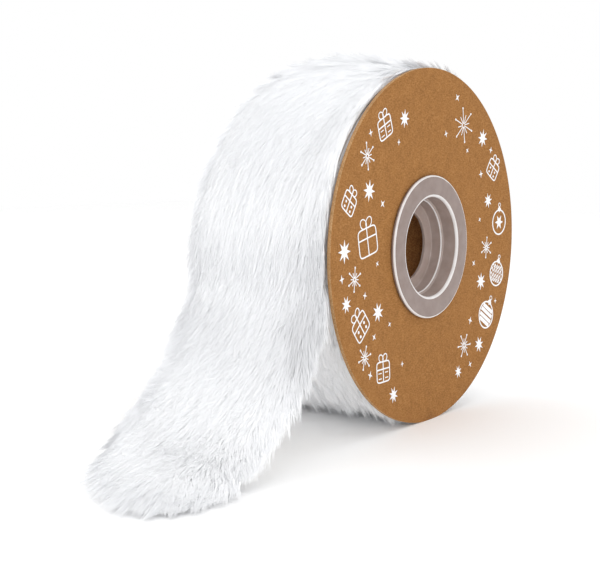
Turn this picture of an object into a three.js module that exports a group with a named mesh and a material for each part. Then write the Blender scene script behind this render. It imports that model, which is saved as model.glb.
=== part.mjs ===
// Plush ribbon on a card reel, standing on its flanges with the loose end run out over the front.
// Millimetres. The reel's axis lies along X, the loose end runs toward -Y, and +Z is up.

import * as THREE from 'three';
import { mergeVertices } from 'three/addons/utils/BufferGeometryUtils.js';

// Reel: two card flanges on a card tube, with a moulded bush in each hub.
const FLANGE_RADIUS = 65;
const CARD = 1.3;                    // thickness of the flange card
const FLANGE_GAP = 50.8;             // clear width between the flanges at the hub
const FLARE = 1.6;                   // how far the wound pile pushes each rim outward
const FLARE_FROM = 30;               // radius of the flat middle of a flange
const FLARE_RINGS = 3;
const FLANGE_HOLE = 20.1;            // radius of the hub hole in each flange
const TUBE_INNER = 20.2;
const TUBE_WALL = 2;
const CLEARANCE = 0.3;               // between pieces that meet

// Bush: a flanged cup, measured from the outer face of its lip.
const LIP_RADIUS = 26.4;
const LIP_THICK = 1.4;
const LIP_EDGE = 0.6;                // rounding of the lip's outer corner
const BORE_RADIUS = 18.4;
const BORE_MOUTH = 0.8;              // chamfer at the mouth of the bore
const STEP_DEPTH = 6;
const STEP = 1;                      // how far the bore narrows at the step
const CUP_DEPTH = 10.8;
const CUP_WALL = 1.3;
const CUP_HOLE = 12.9;               // radius of the hole in the cup's end wall

// Ribbon: a woven backing with long pile on its outer face, wound as a spiral.
const RIBBON_WIDTH = 50;
const LEAVE_RADIUS = 64.5;           // radius of the backing where the loose end leaves the roll
const PITCH = 7;                     // what one turn adds to that radius
const CUT_ANGLE = 100;               // where the loose end's own piece begins, behind the top
const STEP_ANGLE = 0.35;             // angle taken by the step that the last turn makes there

// Height of the pile above the underside of the backing, by the angle in degrees that the
// ribbon has gone back round the roll: 0 is the front at axis height, 90 the top. The lean is
// how much higher the pile stands toward the far flange than in the middle.
const PILE_ON_ROLL = [
  { angle: 0, middle: 8.4, edge: 7.4, lean: 1.0 },
  { angle: 40, middle: 7.6, edge: 4.2, lean: 3.0 },
  { angle: 75, middle: 6.8, edge: 2.8, lean: 5.5 },
  { angle: 110, middle: 6.6, edge: 2.6, lean: 5.5 },
  { angle: 145, middle: 6.6, edge: 2.8, lean: 3.0 },
  { angle: 180, middle: 6.0, edge: 3.2, lean: 1.0 },
  { angle: 225, middle: 5.0, edge: 3.6, lean: 0 },
  { angle: 270, middle: 4.4, edge: 3.9, lean: 0 },
  { angle: 295, middle: 4.2, edge: 3.6, lean: 0 },
  { angle: 330, middle: 3.0, edge: 2.2, lean: 0 },
  { angle: 360, middle: 2.4, edge: 1.6, lean: 0 },
  { angle: 410, middle: 4.6, edge: 4.0, lean: 0 },
  { angle: 460, middle: 6.4, edge: 6.2, lean: 0 },
];

const PRESSED = { from: 335, to: 360 };   // angles over which the pile goes under the loose end

// Underside of the loose end below the axis: how far out in front of it, and how high up.
const LOOSE_END = [
  { out: 64.6, up: 54 },
  { out: 68.4, up: 40 },
  { out: 79.6, up: 22.8 },
  { out: 93.4, up: 10.4 },
  { out: 104.5, up: 3.6 },
  { out: 113, up: 0.8 },
  { out: 122, up: 0 },
  { out: 136.5, up: 0 },
];
const ROLL_POINTS = 12;              // points of that path on the roll, before the ones above
const LOOSE_PILE = { middle: 8.8, edge: 6.4, lean: 0 };   // past the roll
const LOOSE_SPREAD = 2;              // how much wider each edge stands once clear of the flanges
const LEAVES = { from: 67, to: 75 }; // radii between which the ribbon comes clear of them
const CUT_SLANT = 15;                // how far the slanted cut reaches past its middle at the near edge
const CUT_ROUND = 12.5;              // how far its corners are rounded back
const SLANT_FROM = 0.62;             // share of the length after which stations turn to that cut

// Pile locks: rows of tufts that rise along the pile and end in a step, and points at the rim.
const TUFT_LENGTH = 13;
const TUFT_WIDTH = 4.5;
const TUFT_RISE = 1.5;
const RIM_LOCK = 6;                  // reach of a middling lock past the edge
const LOCK_LEAN = 3.4;               // how far a rim lock leans along the pile
const LOCK_CLEAR = { from: 67.2, to: 72 };   // radii between which locks come to pass the flanges
const END_LOCK = 9;                  // reach of a long lock past the cut end
const END_REACH = [0.5, 1, 0.8, 0];  // shares of it from the underside to the top
const END_SHORT = 0.4;               // share of it that the lock between two long ones has
const END_ROUNDING = 0.6;            // how much less it is at the corners
const END_FAN = 0.05;                // how far the end's locks fan out

// Steps along, across and through the solids.
const ROUND_STEPS = 80;
const HUB_STEPS = 40;
const ROLL_STEPS = 108;
const ACROSS_STEPS = 11;
const LOOSE_STEPS = 60;
const PILE_LEVELS = 3;

const AXIS_HEIGHT = FLANGE_RADIUS * Math.cos(2 * Math.PI / ROUND_STEPS);   // a foot two steps long
const ROLL_INNER = TUBE_INNER + TUBE_WALL + CLEARANCE;
const HALF_RIBBON = RIBBON_WIDTH / 2;
const FLANGE_FACE = FLANGE_GAP / 2 + CARD;
const LIP_FACE = FLANGE_FACE + CLEARANCE + LIP_THICK;

const kraft = new THREE.MeshStandardMaterial({ color: 0xa8743f, roughness: 0.9, metalness: 0 });
const tubeCard = new THREE.MeshStandardMaterial({ color: 0x9a683a, roughness: 0.95, metalness: 0 });
const milkyPlastic = new THREE.MeshStandardMaterial({ color: 0xd6cfc8, roughness: 0.35, metalness: 0 });
const plush = new THREE.MeshStandardMaterial({ color: 0xf7f8fa, roughness: 1, metalness: 0 });

const { clamp, degToRad, euclideanModulo, lerp, radToDeg, smoothstep } = THREE.MathUtils;

// A repeatable fraction from 0 to 1 for a whole number.
function scatter(number) {
  const wave = Math.sin(number * 12.9898 + 4.1) * 43758.5453;
  return wave - Math.floor(wave);
}

// The value of one column of a table at a place along its key, straight between the rows.
function lookUp(table, key, place, column) {
  const next = table.findIndex((row) => row[key] >= place);
  if (next <= 0) return table[next < 0 ? table.length - 1 : 0][column];
  const [before, after] = [table[next - 1], table[next]];
  const share = (place - before[key]) / (after[key] - before[key]);
  return lerp(before[column], after[column], share);
}

// Moves every point of a geometry and joins the points that then coincide.
function reshape(geometry, move) {
  geometry.deleteAttribute('normal');
  geometry.deleteAttribute('uv');
  const places = geometry.attributes.position;
  const point = new THREE.Vector3();
  for (let i = 0; i < places.count; i += 1) {
    point.fromBufferAttribute(places, i);
    move(point);
    places.setXYZ(i, point.x, point.y, point.z);
  }
  const joined = mergeVertices(geometry, 1e-4);
  joined.computeVertexNormals();
  return joined;
}

// Radius of the underside of the backing after going back round the roll by an angle in degrees.
function backingRadius(angle) {
  return LEAVE_RADIUS - PITCH * angle / 360;
}

// Height of a tuft at a distance along the pile and across it: a slow rise and a sudden end,
// with each row of tufts shifted against the next and each tuft of its own size.
function tuft(along, across) {
  const row = Math.floor(across / TUFT_WIDTH);
  const place = along / TUFT_LENGTH + scatter(row);
  const number = Math.floor(place);
  const size = 0.6 + 0.8 * scatter(row + 7 * number);
  return TUFT_RISE * size * (place - number - 0.4);
}

// Share of the crown that is left at a place across the ribbon, 1 in the middle and 0 at the edge.
function crown(side) {
  return 1 - Math.abs(side) ** 3;
}

// Height of the pile at a place across the ribbon, -1 at the far edge and 1 at the near one.
function pileHeight({ middle, edge, lean }, side, lump) {
  return edge + (middle - edge - lean * side + lump) * crown(side);
}

// The row of the pile's table at an angle round the roll.
function pileAt(angle) {
  const column = (name) => lookUp(PILE_ON_ROLL, 'angle', angle, name);
  return { middle: column('middle'), edge: column('edge'), lean: column('lean') };
}

// A ring turned about Z from rows of radius and height, closed on itself.
function turned(profile, steps) {
  const points = [...profile, profile[0]].map(([radius, height]) => new THREE.Vector2(radius, height));
  const ring = new THREE.LatheGeometry(points, steps).rotateX(Math.PI / 2);
  return reshape(ring, () => {});
}

// A card disc with a hub hole, flat in the middle and flared toward the rim, which is pressed
// flat where it stands. Its inner face is at height 0 in the middle.
function flange() {
  const inner = [[FLANGE_HOLE, 0]];
  for (let ring = 0; ring <= FLARE_RINGS; ring += 1) {
    const share = ring / FLARE_RINGS;
    inner.push([lerp(FLARE_FROM, FLANGE_RADIUS, share), FLARE * share ** 2]);
  }
  const outer = inner.map(([radius, height]) => [radius, height + CARD]).reverse();
  const disc = turned([...inner, ...outer], ROUND_STEPS);
  return reshape(disc, (point) => {
    point.y = Math.max(point.y, -AXIS_HEIGHT);
  });
}

// The plain tube that carries the wound ribbon, set between the flanges.
function coreTube() {
  const end = FLANGE_GAP / 2 - CLEARANCE;
  const outer = TUBE_INNER + TUBE_WALL;
  return turned([[TUBE_INNER, -end], [outer, -end], [outer, end], [TUBE_INNER, end]], HUB_STEPS);
}

// A flanged cup: a lip on the flange, a stepped bore and an end wall with a round hole.
function bush() {
  const sleeve = BORE_RADIUS + CUP_WALL;
  const inner = BORE_RADIUS - STEP;
  return turned([
    [LIP_RADIUS, -LIP_THICK],
    [LIP_RADIUS, -LIP_EDGE],
    [LIP_RADIUS - LIP_EDGE, 0],
    [BORE_RADIUS + BORE_MOUTH, 0],
    [BORE_RADIUS, -BORE_MOUTH],
    [BORE_RADIUS, -STEP_DEPTH],
    [inner, -STEP_DEPTH - STEP],
    [inner, -CUP_DEPTH],
    [CUP_HOLE, -CUP_DEPTH],
    [CUP_HOLE, -CUP_DEPTH - CUP_WALL],
    [sleeve, -CUP_DEPTH - CUP_WALL],
    [sleeve, -LIP_THICK],
  ], HUB_STEPS);
}

// The wound ribbon: a ring whose outer face follows the spiral and its pile, with tufts where
// the pile is free and none under the loose end.
function ribbonRoll() {
  const across = (step) => HALF_RIBBON * (2 * step / ACROSS_STEPS - 1);
  const rim = Array.from({ length: ACROSS_STEPS + 1 }, (_, step) => [FLANGE_RADIUS, across(step)]);
  const ring = turned([[ROLL_INNER, -HALF_RIBBON], ...rim, [ROLL_INNER, HALF_RIBBON]], ROLL_STEPS);
  return reshape(ring, (point) => {
    const turn = euclideanModulo(Math.atan2(point.y, point.x), 2 * Math.PI) / (2 * Math.PI);
    const station = Math.round(turn * ROLL_STEPS) % ROLL_STEPS;
    const angle = CUT_ANGLE + (360 - STEP_ANGLE) * (1 - station / (ROLL_STEPS - 1));
    let radius = Math.hypot(point.x, point.y);
    if (radius > FLANGE_RADIUS - 1) {
      const free = 1 - smoothstep(angle, PRESSED.from, PRESSED.to);
      const lump = free * tuft(-FLANGE_RADIUS * degToRad(angle), point.z);
      radius = backingRadius(angle) + pileHeight(pileAt(angle), point.z / HALF_RIBBON, lump);
    }
    const place = degToRad(180 - angle);
    point.set(radius * Math.cos(place), radius * Math.sin(place), point.z);
  });
}

// The underside of the loose end, from behind the top, over the front and out along the floor.
function looseEndPath() {
  const points = [];
  for (let step = 0; step <= ROLL_POINTS; step += 1) {
    const angle = (CUT_ANGLE - 2 * STEP_ANGLE) * (1 - step / ROLL_POINTS);
    const place = degToRad(180 - angle);
    const radius = backingRadius(angle);
    points.push(new THREE.Vector3(radius * Math.cos(place), radius * Math.sin(place), 0));
  }
  for (const { out, up } of LOOSE_END) points.push(new THREE.Vector3(-out, up - AXIS_HEIGHT, 0));
  return new THREE.CatmullRomCurve3(points);
}

// The loose end: a slab of backing and pile bent along that path, its top tufted, its rim and
// cut end drawn out into locks, and its underside flat where it lies on the floor.
function ribbonEnd() {
  const path = looseEndPath();
  const length = path.getLength();
  const slab = new THREE.BoxGeometry(1, 1, 1, LOOSE_STEPS, PILE_LEVELS, ACROSS_STEPS);
  return reshape(slab, (point) => {
    const station = Math.round((point.x + 0.5) * LOOSE_STEPS);
    const level = Math.round((point.y + 0.5) * PILE_LEVELS);
    const column = Math.round((point.z + 0.5) * ACROSS_STEPS);
    const side = -2 * point.z;
    const share = station / LOOSE_STEPS;
    const slant = (CUT_SLANT * side - CUT_ROUND * side ** 2) * smoothstep(share, SLANT_FROM, 1);
    const along = share * length + slant;
    const inside = clamp(along / length, 0, 1);
    const base = path.getPointAt(inside);
    const ahead = path.getTangentAt(inside);
    const outward = new THREE.Vector3(ahead.y, -ahead.x, 0);
    base.addScaledVector(ahead, along - inside * length);

    const angle = Math.max(radToDeg(Math.atan2(base.y, -base.x)), 0);
    const clear = smoothstep(base.length(), LEAVES.from, LEAVES.to);
    const lump = tuft(along, HALF_RIBBON * side);
    const onRoll = pileHeight(pileAt(angle), side, lump);
    const top = lerp(onRoll, pileHeight(LOOSE_PILE, side, lump), clear);
    const size = 0.6 + 0.6 * scatter(station + 17 * column + 31 * level);
    point.set(base.x, base.y, side * (HALF_RIBBON + LOOSE_SPREAD * clear));
    point.addScaledVector(outward, top * level / PILE_LEVELS);

    const inner = level > 0 && level < PILE_LEVELS;
    const isEnd = station === LOOSE_STEPS;
    if (isEnd) {
      const long = (column + level) % 2 === 0 ? 1 : END_SHORT;
      const reach = END_REACH[level] * size * (inner ? long : 1) * (1 - END_ROUNDING * side ** 4);
      point.addScaledVector(ahead, END_LOCK * reach);
      point.z *= 1 + END_FAN * reach;
    } else if (Math.abs(side) === 1 && inner && (station + level) % 2 === 0) {
      const passes = smoothstep(Math.hypot(point.x, point.y), LOCK_CLEAR.from, LOCK_CLEAR.to);
      point.z += side * RIM_LOCK * size * passes;
      point.addScaledVector(ahead, LOCK_LEAN * size * passes);
    }
    point.y = Math.max(point.y, -AXIS_HEIGHT);
  });
}

// Adds a named piece to a group, moved along the reel's axis.
function add(group, name, geometry, material, along = 0) {
  const piece = new THREE.Mesh(geometry, material);
  piece.name = name;
  piece.position.z = along;
  group.add(piece);
  return piece;
}

// The reel is modelled with its axis along its own Z and its front toward its own -X, then
// turned so that the axis lies along X and the front faces -Y.
const reel = new THREE.Group();
add(reel, 'flange_near', flange(), kraft, FLANGE_GAP / 2);
add(reel, 'flange_far', flange(), kraft, -FLANGE_GAP / 2).rotation.y = Math.PI;
add(reel, 'core_tube', coreTube(), tubeCard);
add(reel, 'bush_near', bush(), milkyPlastic, LIP_FACE);
add(reel, 'bush_far', bush(), milkyPlastic, -LIP_FACE).rotation.y = Math.PI;
add(reel, 'ribbon_roll', ribbonRoll(), plush);
add(reel, 'ribbon_end', ribbonEnd(), plush);
const toY = new THREE.Vector3(0, 1, 0);
const toZ = new THREE.Vector3(0, 0, 1);
const toX = new THREE.Vector3(1, 0, 0);
reel.quaternion.setFromRotationMatrix(new THREE.Matrix4().makeBasis(toY, toZ, toX));

// The origin is at the middle of the underside of the whole part.
const part = new THREE.Group();
part.add(reel);
const box = new THREE.Box3().setFromObject(part);
reel.position.set(-(box.min.x + box.max.x) / 2, -(box.min.y + box.max.y) / 2, -box.min.z);

export default part;
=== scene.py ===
# %% [markdown]
# # A plush ribbon on its card reel
#
# The object is a long-pile white ribbon wound on a reel of two kraft card discs. Its loose end comes
# over the top, down the front and out onto the table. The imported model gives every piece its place, so
# this lesson only adds what the eye sees: card fibre, milky plastic, white ink, weave and thousands of
# hairs. Lengths below are in millimetres, measured from the middle of the reel's axis.

# %% Load the fixed frame
import math

import bpy
import numpy as np
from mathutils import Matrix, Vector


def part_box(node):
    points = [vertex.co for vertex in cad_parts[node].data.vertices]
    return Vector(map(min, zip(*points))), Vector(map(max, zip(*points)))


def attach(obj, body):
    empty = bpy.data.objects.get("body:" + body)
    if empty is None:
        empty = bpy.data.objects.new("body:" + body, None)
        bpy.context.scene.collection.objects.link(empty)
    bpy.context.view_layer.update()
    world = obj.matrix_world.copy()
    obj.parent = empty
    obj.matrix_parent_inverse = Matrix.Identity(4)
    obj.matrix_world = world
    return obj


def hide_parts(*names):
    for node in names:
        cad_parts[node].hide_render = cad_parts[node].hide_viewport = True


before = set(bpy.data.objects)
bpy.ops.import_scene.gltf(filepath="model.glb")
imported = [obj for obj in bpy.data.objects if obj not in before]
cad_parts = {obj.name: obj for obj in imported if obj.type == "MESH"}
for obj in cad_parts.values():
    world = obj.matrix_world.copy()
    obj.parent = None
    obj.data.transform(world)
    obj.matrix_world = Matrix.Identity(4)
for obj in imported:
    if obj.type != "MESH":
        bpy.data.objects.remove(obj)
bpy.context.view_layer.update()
MM = 0.001
print("nodes:", sorted(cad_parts))

# %% [markdown]
# ## Where the reel's axis lies
#
# Both hub bushes are round, so the middle of a bush's box is a point of the axis. Halfway between the
# two lips is the middle of the reel, and all pieces are worked out from that point.

# %% Middle of the reel
near_low, near_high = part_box("bush_near")
far_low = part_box("bush_far")[0]
MIDDLE = np.array([near_high.x + far_low.x, near_low.y + near_high.y, near_low.z + near_high.z]) / 2 / MM
AXIS_HEIGHT = MIDDLE[2]
print("middle of the reel, mm:", MIDDLE.round(3))

# %% [markdown]
# ## The camera
#
# The photograph looks a little down on the reel from its near front corner. A long lens keeps the two
# discs close to the same size. The camera is placed from the middle of the near disc's rim.

# %% Camera
CAMERA_FROM_RIM = np.array([204.63, -352.07, 32.71])
CAMERA_YAW, CAMERA_PITCH = 37.055, -6.472
LENS, SENSOR = 66, 36
rim_face = np.array([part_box("flange_near")[1].x / MM, MIDDLE[1], MIDDLE[2]])
camera = bpy.data.objects.new("camera", bpy.data.cameras.new("camera"))
camera.data.lens = LENS
camera.data.sensor_width = SENSOR
camera.location = (rim_face + CAMERA_FROM_RIM) * MM
camera.rotation_euler = (math.radians(90 + CAMERA_PITCH), 0, math.radians(CAMERA_YAW))
bpy.context.scene.collection.objects.link(camera)
bpy.context.scene.camera = camera
print("camera at, m:", [round(v, 4) for v in camera.location])

# %% [markdown]
# ## Helpers for meshes
#
# Nearly every new piece is a surface on a grid of points: one parameter runs along the rows and the other
# along the columns. The grid's faces follow from its size alone, so only its points need a formula.

# %% Grid and mesh helpers
def grid_faces(rows, columns, close_rows=False, close_columns=False):
    """Quads between neighbouring grid points. A closed way joins its last points to its first."""
    row = np.arange(rows if close_rows else rows - 1)[:, None]
    column = np.arange(columns if close_columns else columns - 1)[None, :]
    next_row, next_column = (row + 1) % rows, (column + 1) % columns
    corners = [(row, column), (row, next_column), (next_row, next_column), (next_row, column)]
    return np.stack([(r * columns + c) for r, c in corners], axis=-1).reshape(-1, 4)


def make_piece(name, points, faces, materials, smooth=True, face_slots=None):
    """A mesh object from points in millimetres about the reel's middle and one or more face arrays."""
    faces = faces if isinstance(faces, list) else [faces]
    sizes = np.concatenate([np.full(len(group), group.shape[1]) for group in faces])
    corners = np.concatenate([group.ravel() for group in faces]).astype(np.int32)
    mesh = bpy.data.meshes.new(name)
    mesh.vertices.add(len(points))
    mesh.vertices.foreach_set("co", ((points + MIDDLE) * MM).astype(np.float32).ravel())
    mesh.loops.add(len(corners))
    mesh.loops.foreach_set("vertex_index", corners)
    mesh.polygons.add(len(sizes))
    mesh.polygons.foreach_set("loop_start", np.concatenate([[0], np.cumsum(sizes)[:-1]]).astype(np.int32))
    mesh.polygons.foreach_set("use_smooth", np.full(len(sizes), smooth))
    for material in materials:
        mesh.materials.append(material)
    if face_slots is not None:
        mesh.polygons.foreach_set("material_index", face_slots.astype(np.int32))
    mesh.update(calc_edges=True)
    mesh.validate()
    piece = bpy.data.objects.new(name, mesh)
    bpy.context.scene.collection.objects.link(piece)
    print(name, "triangles:", int((sizes - 2).sum()))
    return piece


def place(piece, slot, *nodes):
    """The piece rides on the only body and stands for CAD nodes, if any are named. The slot is not used."""
    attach(piece, "root")
    if nodes:
        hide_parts(*nodes)
    return piece


# %% [markdown]
# ## Helpers for materials
#
# Each finish is one Principled shader. What is the same all over is set on its sockets, and what varies
# is wired in from texture nodes that read the object's own coordinates or a map made for the piece.

# %% Material helpers
SHADER = "Principled BSDF"


def new_finish(name, **sockets):
    """A material with a Principled shader whose sockets are set by name, with _ for a space."""
    material = bpy.data.materials.new(name)
    material.use_nodes = True
    for socket, value in sockets.items():
        material.node_tree.nodes[SHADER].inputs[socket.replace("_", " ")].default_value = value
    return material


def wire(material, kind, sockets=None, **settings):
    """A new node with its settings made and its sockets set to values or linked from other sockets."""
    node = material.node_tree.nodes.new("ShaderNode" + kind)
    for setting, value in settings.items():
        setattr(node, setting, value)
    for socket, value in (sockets or {}).items():
        if isinstance(value, bpy.types.NodeSocket):
            material.node_tree.links.new(value, node.inputs[socket])
        else:
            node.inputs[socket].default_value = value
    return node


def feed(material, socket, value):
    """Links another node's output to a socket of the shader."""
    material.node_tree.links.new(value, material.node_tree.nodes[SHADER].inputs[socket])


def bumped(material, height, strength, depth):
    """Tilts the shader's normal by a height, as a bump of a depth in millimetres."""
    bump = wire(material, "Bump", {"Height": height, "Strength": strength, "Distance": depth * MM})
    feed(material, "Normal", bump.outputs["Normal"])


# %% Texture helpers
def on_object(material):
    """The object's own coordinates, in metres."""
    return wire(material, "TexCoord").outputs["Object"]


def noise(material, at, scale, detail):
    """Clouds from 0 to 1, about as many to a metre as the scale says."""
    return wire(material, "TexNoise", {"Vector": at, "Scale": scale, "Detail": detail}).outputs["Fac"]


def maths(material, operation, *values):
    """A sum, a product or the like of one or two values."""
    return wire(material, "Math", dict(enumerate(values)), operation=operation).outputs[0]


def multiplied(material, first, second):
    """The product of two colours."""
    node = wire(material, "Mix", {0: 1.0, 6: first, 7: second}, data_type="RGBA", blend_type="MULTIPLY")
    return node.outputs[2]


def ramp(material, factor, *stops):
    """A colour ramp over a factor, from stops of (place, colour)."""
    node = wire(material, "ValToRGB", {"Fac": factor})
    while len(node.color_ramp.elements) < len(stops):
        node.color_ramp.elements.new(0.5)
    for element, (place_on_ramp, colour) in zip(node.color_ramp.elements, stops):
        element.position = place_on_ramp
        element.color = (*colour, 1)
    return node.outputs["Color"]


# %% [markdown]
# ## Light and floor
#
# The photograph is high key: a white table that runs into a white background, light from everywhere, and
# a little more of it from above. A plain white world gives the first. A wide lamp overhead gives the
# second and keeps the table at full white. A lamp on the right keeps the printed card and the shadows
# light, and one from the far side shines through under the loose end.

# %% Stage
WORLD_LIGHT = 1.0
FLOOR_WHITE = 0.97
FLOOR_HALF = 1500
BOUNCES, DIFFUSE_BOUNCES = 24, 16

world = bpy.data.worlds.new("white_room")
world.use_nodes = True
world.node_tree.nodes["Background"].inputs["Color"].default_value = (1, 1, 1, 1)
world.node_tree.nodes["Background"].inputs["Strength"].default_value = WORLD_LIGHT
bpy.context.scene.world = world
bpy.context.scene.view_settings.view_transform = "Standard"
bpy.context.scene.cycles.max_bounces = BOUNCES
bpy.context.scene.cycles.diffuse_bounces = DIFFUSE_BOUNCES


def soft_lamp(name, at, size, power):
    """A square area lamp at a place in millimetres from the origin, facing the origin."""
    lamp = bpy.data.objects.new(name, bpy.data.lights.new(name, "AREA"))
    lamp.data.size = size * MM
    lamp.data.energy = power
    lamp.location = np.array(at) * MM
    lamp.rotation_mode = "QUATERNION"
    lamp.rotation_quaternion = (-lamp.location).to_track_quat("-Z", "Y")
    bpy.context.scene.collection.objects.link(lamp)


soft_lamp("top_lamp", (0, -200, 1400), 1600, 3.2)
soft_lamp("fill_lamp", (850, -620, 320), 600, 3.4)
soft_lamp("side_lamp", (-900, -60, 300), 300, 1.2)

floor_finish = new_finish("white_table", Base_Color=(FLOOR_WHITE,) * 3 + (1,), Roughness=0.9)
floor_corners = np.array([[-1, -1], [1, -1], [1, 1], [-1, 1]]) * FLOOR_HALF
floor_points = np.column_stack([floor_corners, np.full(4, -AXIS_HEIGHT)])
table_top = make_piece("table_top", floor_points, np.array([[0, 1, 2, 3]]), [floor_finish], smooth=False)

# %% [markdown]
# ## Kraft card
#
# Kraft card is pressed brown pulp. From close by it is a felt of darker and lighter fibres with soft
# clouds a few millimetres wide. Two noises of different size make the fibres and the clouds, and a third,
# drawn out along one direction, makes the longer fibres. The cut edge is painted paler than the face, as
# a painted highlight along the rim.

# %% Card finishes
def card_finish(name, dark, middle, light):
    """Brown card: fibres pick a colour between dark and light and raise the bump, and clouds shade it."""
    material = new_finish(name, Roughness=0.88, Specular_IOR_Level=0.2)
    at = on_object(material)
    drawn_out = wire(material, "Mapping", {"Vector": at, "Scale": (1, 0.35, 1.6)}).outputs["Vector"]
    clouds = noise(material, at, scale=220, detail=3)
    fibres = noise(material, at, scale=1500, detail=4)
    strands = noise(material, drawn_out, scale=2200, detail=2)
    felt = maths(material, "ADD", fibres, strands)
    mottled = wire(material, "MapRange", {"Value": felt, "From Min": 0.7, "From Max": 1.3}).outputs[0]
    colour = ramp(material, mottled, (0.1, dark), (0.5, middle), (0.9, light))
    cloudy = ramp(material, clouds, (0.3, (0.88, 0.87, 0.86)), (0.7, (1, 1, 1)))
    feed(material, "Base Color", multiplied(material, colour, cloudy))
    bumped(material, felt, strength=0.25, depth=0.05)
    return material


kraft = card_finish("kraft_card", (0.25, 0.11, 0.03), (0.318, 0.144, 0.041), (0.38, 0.183, 0.061))
# The cut edge's paler colours are a painted highlight for the light line along the lit rim.
cut_edge_highlight = card_finish("kraft_cut_edge", (0.3, 0.16, 0.065), (0.42, 0.24, 0.11), (0.52, 0.32, 0.16))
tube_card = card_finish("tube_card", (0.2, 0.085, 0.022), (0.3, 0.13, 0.04), (0.38, 0.18, 0.06))
print("card finishes:", kraft.name, cut_edge_highlight.name, tube_card.name)

# %% [markdown]
# ## Turned pieces
#
# The discs, the tube and the bushes are all round. A lathe does such work: an outline of radius and
# distance along the axis is carried once round. The outline's corners are eased, because no real edge is
# quite sharp, and it is the eased edge that catches the light.

# %% Lathe
def eased(corners, steps=5):
    """An outline of corners (radius, along, ease), each a short curve that starts and ends ease away."""
    corners = np.array(corners, float)
    point, ease = corners[:, :2], corners[:, 2:]
    before, after = np.roll(point, 1, axis=0) - point, np.roll(point, -1, axis=0) - point
    start = before / np.linalg.norm(before, axis=1, keepdims=True) * ease
    end = after / np.linalg.norm(after, axis=1, keepdims=True) * ease
    share = np.linspace(0, 1, steps)[None, :, None]
    curve = point[:, None] + (1 - share) ** 2 * start[:, None] + share ** 2 * end[:, None]
    return curve.reshape(-1, 2)


def turned(outline, steps):
    """Points of a closed outline carried round the axis: x is along it, y and z are the radius turned."""
    turn = np.arange(steps)[:, None] * 2 * math.pi / steps
    radius, along = outline[None, :, 0], outline[None, :, 1]
    points = np.stack([along + 0 * turn, radius * np.cos(turn), radius * np.sin(turn)], axis=-1)
    return points.reshape(-1, 3), grid_faces(steps, len(outline), True, True)


# %% [markdown]
# ## The two card discs
#
# A disc is 130 mm across and 1.3 mm thick, with a hole for the bush. The wound pile pushes its rim out by
# a millimetre or so, so the face is slightly dished. It stands on a short flat at the bottom.

# %% Discs
FLANGE_RADIUS, FLANGE_HOLE = 65, 20.1
CARD = 1.3
FLANGE_GAP = 50.8
FLARE, FLARE_FROM = 1.6, 30
CARD_EASE, LEAST_EASE = 0.12, 0.01
DISC_STEPS, FACE_RINGS, CARD_STEPS = 160, 8, 3


def flare(radius):
    """How far the card is pushed outward at a radius: nothing in the middle, then growing as a square."""
    share = np.clip((radius - FLARE_FROM) / (FLANGE_RADIUS - FLARE_FROM), 0, 1)
    return FLARE * share ** 2


def disc(side):
    """Points, faces, the cut edge's painted-highlight faces, for side 1 near or -1 far, flattened where it
    stands.
    """
    radii = np.concatenate([[FLANGE_HOLE], np.linspace(FLARE_FROM, FLANGE_RADIUS, FACE_RINGS)])
    inner = np.column_stack([radii, FLANGE_GAP / 2 + flare(radii)])
    face = np.concatenate([inner, inner[::-1] + [0, CARD]])
    eases = np.full(len(face), LEAST_EASE)
    eases[[0, len(radii) - 1, len(radii), -1]] += CARD_EASE
    outline = eased(np.column_stack([face, eases]), CARD_STEPS)
    outline[:, 1] *= side
    outline = outline[::side]
    points, faces = turned(outline, DISC_STEPS)
    highlight_faces = outline[faces % len(outline), 0].min(axis=1) > FLANGE_RADIUS - 2 * CARD_EASE
    points[:, 2] = np.maximum(points[:, 2], -AXIS_HEIGHT)
    return points, faces, highlight_faces


for side, node in ((1, "flange_near"), (-1, "flange_far")):
    points, faces, highlight_faces = disc(side)
    piece = make_piece(node.replace("flange", "disc"), points, faces, [kraft, cut_edge_highlight], face_slots=highlight_faces)
    place(piece, "kraft_card", node)

# %% [markdown]
# ## White ink on the near disc
#
# The near disc carries a print in white ink: plain stars, bursts, sparkles, parcels and baubles scattered
# along its left and right rims. Screen printing lays ink down as a thin film. Each figure is drawn flat
# from a formula, u to the right and v up as seen from the near side, and laid on the dished card as a
# closed film a few hundredths of a millimetre thick. The figures and their layout are this lesson's own.

# %% Ink films
INK_LIFT, INK_THICK = 0.02, 0.05
INK_LINE = 0.5
films = []


def on_card(flat, lift):
    """Points on the near disc's face, raised by a lift, from flat places u and v about the axis."""
    raised = FLANGE_GAP / 2 + CARD + flare(np.hypot(flat[..., 0], flat[..., 1])) + lift
    return np.concatenate([raised[..., None], flat], axis=-1)


def stroke(line, width=INK_LINE, closed=False):
    """A film along a flat line: its left and right edges on two levels make four columns of a grid."""
    ahead = np.roll(line, -1, axis=0) - np.roll(line, 1, axis=0) if closed else np.gradient(line, axis=0)
    ahead /= np.linalg.norm(ahead, axis=1, keepdims=True)
    aside = np.column_stack([-ahead[:, 1], ahead[:, 0]]) * width / 2
    left, right = line + aside, line - aside
    top, low = INK_LIFT + INK_THICK, INK_LIFT
    columns = [on_card(left, top), on_card(right, top), on_card(right, low), on_card(left, low)]
    faces = grid_faces(len(line), 4, close_rows=closed, close_columns=True)
    if not closed:
        cap = np.array([[3, 2, 1, 0], [0, 1, 2, 3]])
        faces = np.concatenate([faces, cap + [[0], [4 * len(line) - 4]]])
    films.append((np.stack(columns, axis=1).reshape(-1, 3), faces))


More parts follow.
